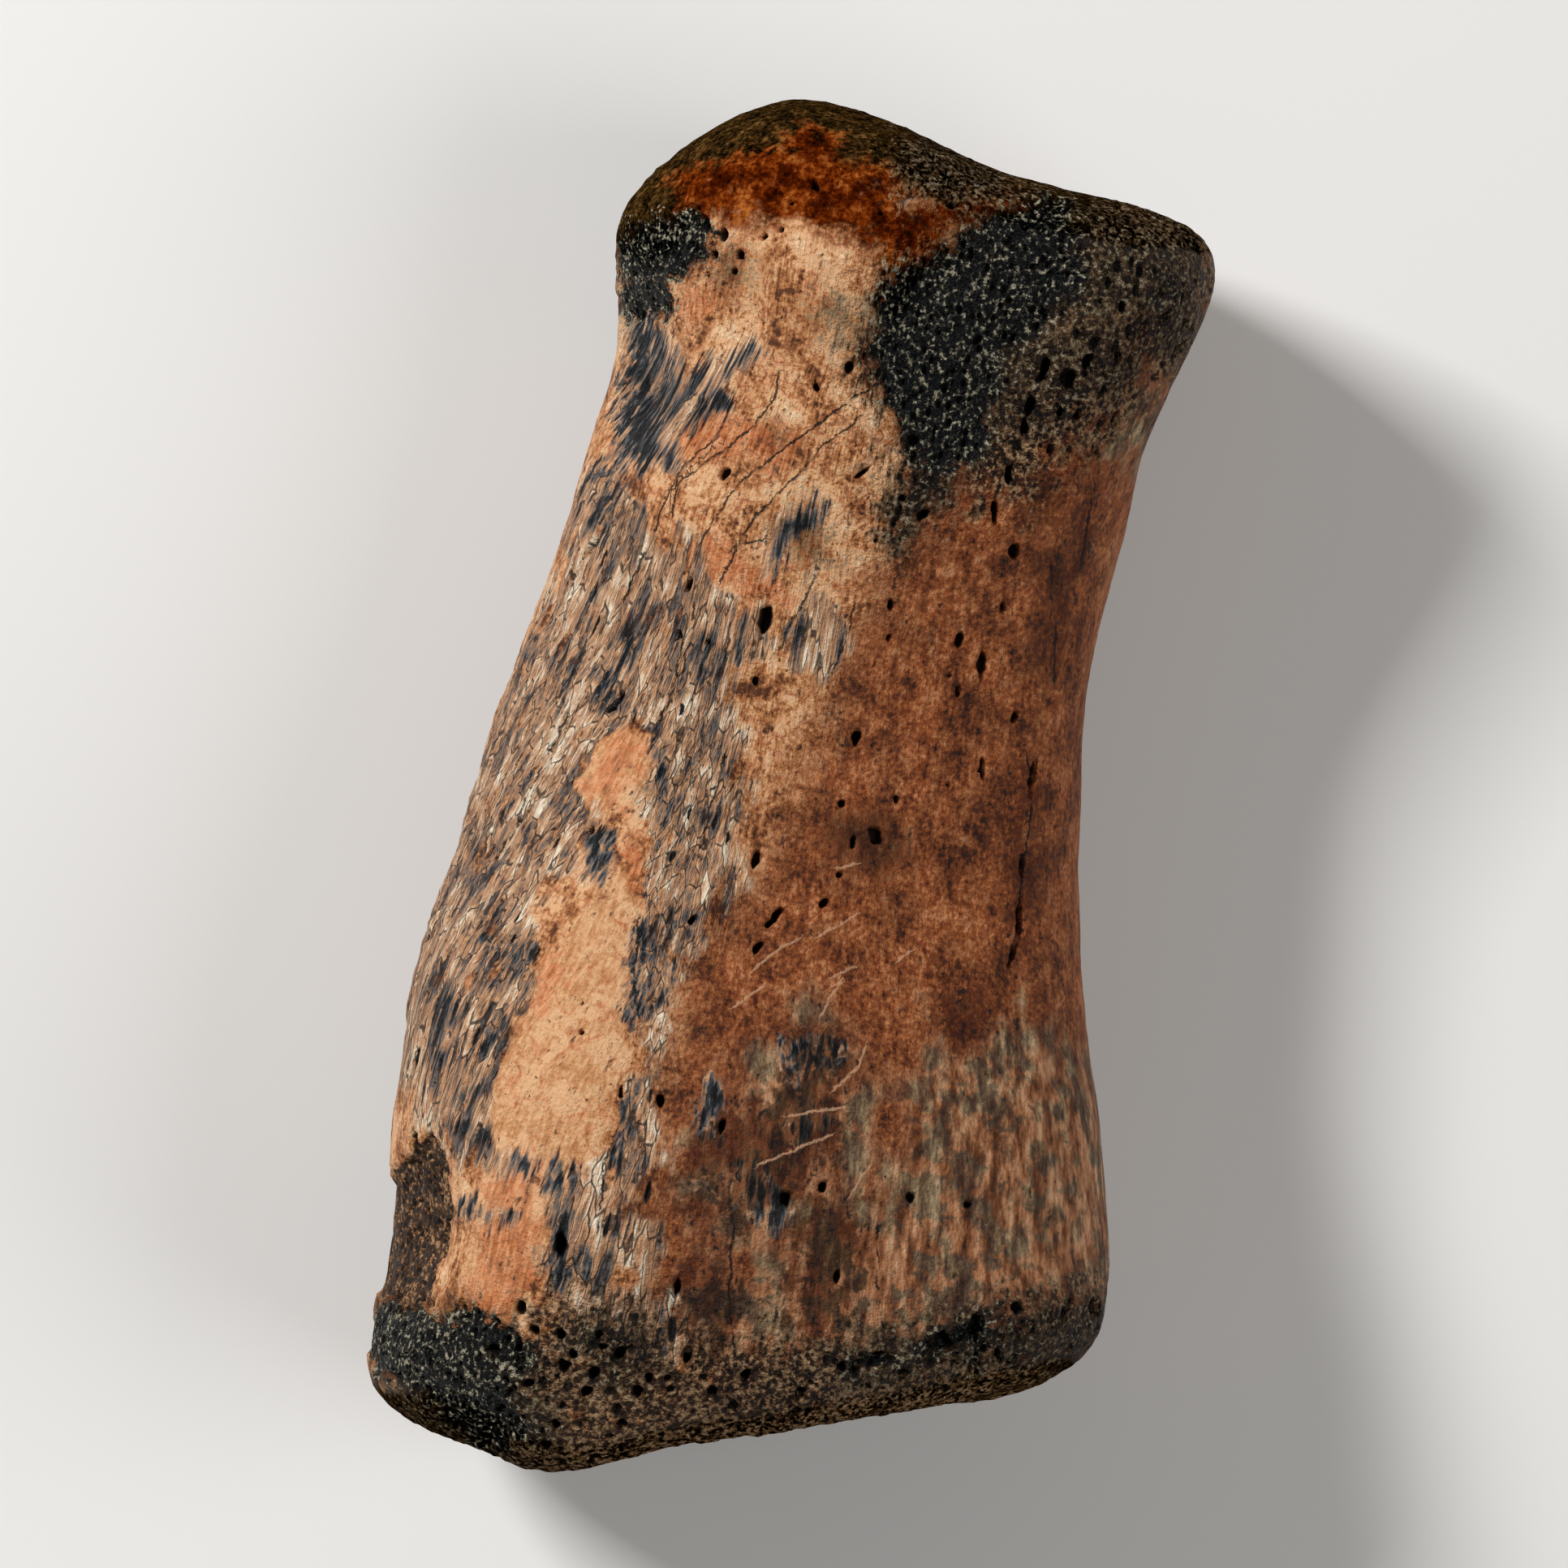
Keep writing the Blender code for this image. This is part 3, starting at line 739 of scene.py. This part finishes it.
def tan_layer(n, p):
    """Marbled tan, with orange patches and veins in it and thin dark creases."""
    tone = n.tone(2.3, (p.patch, 0.6), (p.mottle, 0.55), (p.streak, 0.25), (p.speck, 0.45))
    calm = n.less(n.plus(n.times(n.less(p.streak, 0.5), 0.35), 0.60), tone)
    tone = n.less(n.plus(tone, n.times(calm, n.times(p.polished, 0.68))), 0.03)
    tan = n.ramp(tone, (0.10, colour(80, 44, 24)), (0.30, colour(150, 94, 54)), (0.46, colour(184, 130, 86)),
                 (0.58, colour(208, 164, 122)), (0.70, colour(204, 153, 111)), (0.90, colour(222, 192, 154)))
    orange = n.ramp(n.tone(2.2, (p.mottle, 0.5), (p.dash, 0.5), (p.streak, 0.4)),
                    (0.2, colour(104, 46, 16)), (0.5, colour(180, 100, 54)), (0.8, colour(214, 152, 108)))
    vein = n.times(n.ease(p.contour, 0.05, 0.01), n.ease(p.mottle, 0.4, 0.6))
    orange_share = n.most(n.ease(n.broken(n.mark("orange"), 3.0, p.mottle), 0.25, 0.8), vein)
    tan = n.blend(n.times(orange_share, 0.75), tan, orange)
    crease = n.times(n.ease(p.contour, 0.012, 0.004), n.ease(p.mottle, 0.42, 0.56))
    crease = n.times(crease, n.less(0.5, n.times(p.polished, 0.36)))
    fine_crease = n.times(n.ease(n.size(n.less(p.mottle, 0.5)), 0.022, 0.008),
                          n.times(n.ease(p.dash, 0.50, 0.60), p.marbled))
    return n.blend(n.most(crease, n.times(fine_crease, 0.75)), tan, colour(84, 56, 40))


def brown_and_shade_layer(n, p):
    """Brown, partly a stain and partly painted shade of the side away from the light, and nearer the wrist a
    mixture of warm and grey dabs.
    """
    tone = n.tone(2.3, (p.patch, 0.38), (p.mottle, 0.36), (p.dash, 0.3), (p.speck, 0.42))
    brown = n.ramp(tone, (0.14, colour(40, 17, 8)), (0.33, colour(90, 44, 20)), (0.50, colour(124, 70, 36)),
                   (0.64, colour(148, 94, 58)), (0.86, colour(190, 140, 102)))
    brown = n.blend(n.ease(p.patch, 0.35, 0.65), brown, colour(255, 234, 216), "MULTIPLY")
    dab = n.plus(n.tone(1.0, (p.dash, 1.05), (p.wide_streak, 1.3), (p.speck, 0.1)), 0.05)
    warm = n.ramp(dab, (0.14, colour(34, 20, 12)), (0.36, colour(104, 60, 32)), (0.52, colour(146, 96, 62)),
                  (0.68, colour(180, 130, 94)), (0.9, colour(206, 168, 130)))
    grey = n.ramp(dab, (0.14, colour(12, 13, 12)), (0.38, colour(46, 44, 38)), (0.55, colour(80, 72, 56)),
                  (0.70, colour(122, 110, 84)), (0.9, colour(176, 158, 124)))
    mottled = n.blend(n.ease(n.broken(p.patch, 0.8, p.mottle), 0.40, 0.60), warm, grey)
    mottled_share = n.ease(n.broken(n.mark("mottled"), 1.6, p.patch), 0.2, 0.75)
    return n.blend(n.times(mottled_share, 0.85), brown, mottled)


def outer_layer(n, p):
    """The bone's outer layer: tan to the left of the crest, and brown to the right of it, which is partly a
    brown stain and partly painted shade of the side that faces away from the light.
    """
    brown_and_shade_share = n.ease(n.broken(n.mark("brown"), 0.8, p.mottle, p.dash), 0.15, 0.85)
    return n.blend(brown_and_shade_share, tan_layer(n, p), brown_and_shade_layer(n, p))


def with_fibres(n, p, skin):
    """Bare fibres: tan splinters, with blue-grey and cream ones between them."""
    dark = n.broken(n.mark("dark"), -1.2, p.streak)
    pale = n.broken(n.mark("cream"), 1.2, p.streak)
    marked = n.most(n.ease(dark, 0.25, 0.55), n.ease(pale, 0.45, 0.75))
    tone = n.tone(1.0, (p.sliver, 0.42), (p.streak, 1.05), (p.patch, 1.0))
    tone = n.plus(tone, n.times(p.strand, 0.20))
    tone = n.plus(tone, n.ease(p.sliver_gap, 0.22, 0.06, -0.03, 0.12))
    tone = n.plus(tone, n.less(n.times(n.mark("cream"), 0.22), n.times(n.mark("dark"), 0.34)))
    tint = n.ramp(tone, (0.06, colour(8, 10, 12)), (0.20, colour(42, 45, 49)), (0.32, colour(88, 86, 86)),
                  (0.42, colour(132, 106, 86)), (0.54, colour(168, 122, 88)), (0.70, colour(190, 150, 116)),
                  (0.98, colour(224, 208, 184)))
    return n.blend(n.most(n.times(p.bare, 0.95), marked), skin, tint)


def with_joint_faces(n, p, skin):
    """The olive-brown joint faces, and the iron stain beside the knuckle's."""
    olive = n.ramp(n.tone(1.8, (p.mottle, 0.5), (p.speck, 0.7)), (0.16, colour(2, 1, 0)),
                   (0.38, colour(24, 15, 5)), (0.58, colour(58, 39, 14)), (0.90, colour(118, 88, 46)))
    skin = n.blend(n.ease(n.broken(n.mark("dome"), 1.4, p.mottle), 0.3, 0.7), skin, olive)
    rust = n.ramp(n.tone(2.4, (p.patch, 0.5), (p.mottle, 0.4), (p.speck, 0.35)), (0.16, colour(22, 4, 0)),
                  (0.40, colour(64, 19, 2)), (0.58, colour(108, 44, 7)), (0.82, colour(164, 94, 40)))
    return n.blend(n.ease(n.broken(n.mark("rust"), 2.0, p.mottle), 0.2, 0.8), skin, rust)


def with_rough_bone(n, p, skin):
    """Rough bone, a grey darkening that is partly soot and partly painted shade, with pale grit, black spongy
    bone with painted shade in its pores and painted glints on its walls, and the hollow that a chip left.
    """
    pore_gap = n.cells(n.stretched(p.grain, (1, 0.7, 1)), FINE_PORE_CELL)
    # Painted shade in the fine pores and painted glints on the walls between them
    pore_shade_and_wall_glint = n.ease(pore_gap, 0.15, 0.60)
    tone = n.tone(1.0, (p.speck, 2.3), (p.mottle, 0.6), (p.patch, 0.4), (pore_shade_and_wall_glint, 0.40))
    black = n.ramp(tone, (0.46, colour(3, 4, 5)), (0.62, colour(11, 13, 14)), (0.72, colour(34, 35, 32)),
                   (0.86, colour(76, 72, 58)), (1.0, colour(158, 150, 128)))
    rough = n.ramp(tone, (0.30, colour(5, 4, 4)), (0.45, colour(22, 17, 12)), (0.56, colour(64, 45, 28)),
                   (0.70, colour(108, 79, 52)), (0.94, colour(158, 130, 98)))
    rough_share = n.ease(n.broken(n.mark("grainy"), 1.6, p.dash, p.mottle), 0.25, 0.8)
    skin = n.blend(n.times(rough_share, 0.95), skin, rough)
    # A grey multiply: partly soot, partly painted shade
    soot = n.ease(n.broken(n.mark("soot_and_shade"), 1.4, p.mottle, p.speck), 0.2, 0.8)
    skin = n.blend(soot, skin, colour(164, 167, 163), "MULTIPLY")
    grit = n.times(n.ease(p.speck, 0.56, 0.68), n.times(soot, n.mark("grainy")))
    skin = n.blend(n.times(grit, 0.8), skin, colour(146, 138, 116))
    spongy = n.ease(n.broken(n.mark("spongy"), 1.3, p.speck, p.mottle), 0.4, 0.6)
    skin = n.blend(spongy, skin, black)
    hollow = n.ramp(n.tone(2.6, (p.mottle, 0.5), (p.speck, 0.8)), (0.20, colour(6, 3, 1)),
                    (0.44, colour(40, 22, 9)), (0.64, colour(84, 54, 28)), (0.90, colour(156, 122, 86)))
    return n.blend(n.ease(n.mark("spall"), 0.35, 0.55), skin, hollow)


def with_small_marks(n, p, skin):
    """Brown stains that hold painted shade, painted shade in the gaps between fibres with dark flecks among
    them, pale scratches, and painted shade in cracks, pits and holes.
    """
    # A brown multiply: partly a stain, partly painted shade
    stain = n.ease(n.broken(n.mark("umber_and_shade"), 2.0, p.mottle, p.dash), 0.3, 0.8)
    skin = n.blend(stain, skin, colour(158, 132, 112), "MULTIPLY")

    slots = n.ease(n.broken(n.mark("slot"), 0.5, p.streak), 0.25, 0.55)
    shaded_seam = n.times(n.ease(n.size(p.strand), 0.07, 0.015), n.ease(p.patch, 0.62, 0.45))
    shaded_seam = n.times(n.most(shaded_seam, n.ease(p.sliver_gap, 0.055, 0.02)), p.bare)
    fleck_tone = n.less(n.tone(1.0, (p.dash, 0.7), (p.speck, 0.5)), n.times(n.mark("umber_and_shade"), 0.09))
    fleck_tone = n.less(fleck_tone, n.times(p.marbled, 0.035))
    flecks = n.times(n.ease(fleck_tone, 0.36, 0.28), 0.8)
    # Near-black gaps: painted shade in the slots and seams between fibres, and dark flecks
    gaps = n.most(n.most(slots, n.times(shaded_seam, 0.85)), flecks)
    skin = n.blend(gaps, skin, colour(16, 15, 16))

    crack_width = n.size(n.broken(n.mark("crack"), 7.0, p.speck))
    crack = n.times(n.ease(crack_width, 2.2, 0.7), n.mark("crack_near"))
    hairline = n.times(n.ease(n.size(n.less(p.dash, 0.5)), 0.010, 0.003), n.ease(p.mottle, 0.5, 0.62))
    crack = n.most(n.times(crack, n.ease(p.mottle, 0.34, 0.48)), n.times(hairline, 0.7))
    scratch_width = n.size(n.broken(n.mark("scratch"), 6.0, p.speck))
    scratch = n.times(n.ease(scratch_width, 2.6, 0.6), n.mark("scratch_near"))
    skin = n.blend(n.times(scratch, 0.6), skin, colour(196, 152, 118))
    # Painted shade in pits, holes and cracks, nearly black
    deep = n.most(n.ease(n.mark("pit"), 0.25, 0.6), crack)
    return n.blend(n.times(deep, 0.92), skin, colour(6, 5, 4))


def fine_relief(n, p):
    """Relief that the mesh is too coarse for. It takes few patterns, because it is costly to render."""
    bare_share = n.plus(n.times(n.mark("fibres"), n.less(1.0, n.mark("smooth"))), 0.3)
    rough_share = n.plus(n.times(n.most(n.mark("spongy"), n.mark("grainy")), 1.5), 0.55)
    grains = n.noise(p.space, 0.22, 2, 0.6)
    return n.plus(n.times(grains, rough_share), n.times(p.streak, bare_share))


def bone_material():
    """Tan and brown mineralised bone, with bare fibres, spongy patches, iron stains and cracks, and painted
    shade on its brown side, in some stains and in its hollows.
    """
    material = bpy.data.materials.new("fossil_bone")
    n = Nodes(material)
    p = Patterns(n)
    skin = outer_layer(n, p)
    for add_layer in (with_fibres, with_joint_faces, with_rough_bone, with_small_marks):
        skin = add_layer(n, p, skin)
    dull = n.most(n.mark("rust"), n.mark("dome"))
    n.feed(n.shader.inputs["Base Color"], skin)
    n.feed(n.shader.inputs["Roughness"], n.ease(p.speck, 0.3, 0.7, 0.5, 0.8))
    n.feed(n.shader.inputs["Specular IOR Level"], n.ease(dull, 0.2, 0.8, 0.15, 0.0))
    n.feed(n.shader.inputs["Normal"], n.bump(fine_relief(n, p), BUMP_HEIGHT))
    return material


def floor_material():
    """Plain pale matt board."""
    material = bpy.data.materials.new("pale_board")
    n = Nodes(material)
    place = n.add("ShaderNodeTexCoord").outputs["Object"]
    cloud = n.noise(place, 0.25, 2)
    n.feed(n.shader.inputs["Base Color"], n.ramp(cloud, (0.3, colour(222, 221, 219)),
                                                 (0.7, colour(228, 227, 225))))
    n.shader.inputs["Roughness"].default_value = 0.85
    return material


def floor():
    """A pale board under the bone, with its size in metres."""
    half_side = 1.5
    bm = bmesh.new()
    bmesh.ops.create_grid(bm, x_segments=1, y_segments=1, size=half_side)
    mesh = bpy.data.meshes.new("floor")
    bm.to_mesh(mesh)
    bm.free()
    board = bpy.data.objects.new("floor", mesh)
    board.location.z = -FLOOR_GAP * MM
    board.data.materials.append(floor_material())
    bpy.context.scene.collection.objects.link(board)


def in_photo_frame(across, up, height):
    """A place so far to the right and up in the photo from the bone's middle, in metres."""
    right_axis, up_axis = photo_axes()
    place = right_axis * across + up_axis * up
    return Vector((place[0], place[1], height))


def soft_light(name, place, watts, side):
    """A square light that faces the bone. Its place and its side are in metres."""
    data = bpy.data.lights.new(name, "AREA")
    data.energy = watts
    data.size = side
    light = bpy.data.objects.new(name, data)
    light.location = place
    light.rotation_euler = (-place).to_track_quat("-Z", "Y").to_euler()
    bpy.context.scene.collection.objects.link(light)


def studio():
    """Soft light from the photo's upper left, with a weak fill, and pale surroundings."""
    soft_light("key", in_photo_frame(-0.40, 0.30, 0.42), watts=4.6, side=0.16)
    soft_light("fill", in_photo_frame(0.55, -0.15, 0.5), watts=2.6, side=0.5)
    world = bpy.data.worlds.new("studio")
    world.use_nodes = True
    background = world.node_tree.nodes["Background"]
    background.inputs["Color"].default_value = (1.0, 0.95, 0.90, 1.0)
    background.inputs["Strength"].default_value = 0.13
    bpy.context.scene.world = world
    bpy.context.scene.view_settings.view_transform = "Standard"


def camera():
    """Straight down, turned as the photo is, from far enough to look nearly flat. In metres."""
    distance = 0.6
    middle_height = 0.012
    data = bpy.data.cameras.new("camera")
    data.sensor_width = 36
    data.lens = data.sensor_width * distance / (PHOTO_SIDE * MM_PER_PIXEL * MM)
    view = bpy.data.objects.new("camera", data)
    across, along = from_photo(PHOTO_SIDE / 2, PHOTO_SIDE / 2) * MM
    view.location = (across, along, middle_height + distance)
    view.rotation_euler = (0, 0, LEAN)
    bpy.context.scene.collection.objects.link(view)
    bpy.context.scene.camera = view


bone = bone_surface()
bone.data.materials.append(bone_material())
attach(bone, "root")
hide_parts("finger_bone")
floor()
studio()
camera()
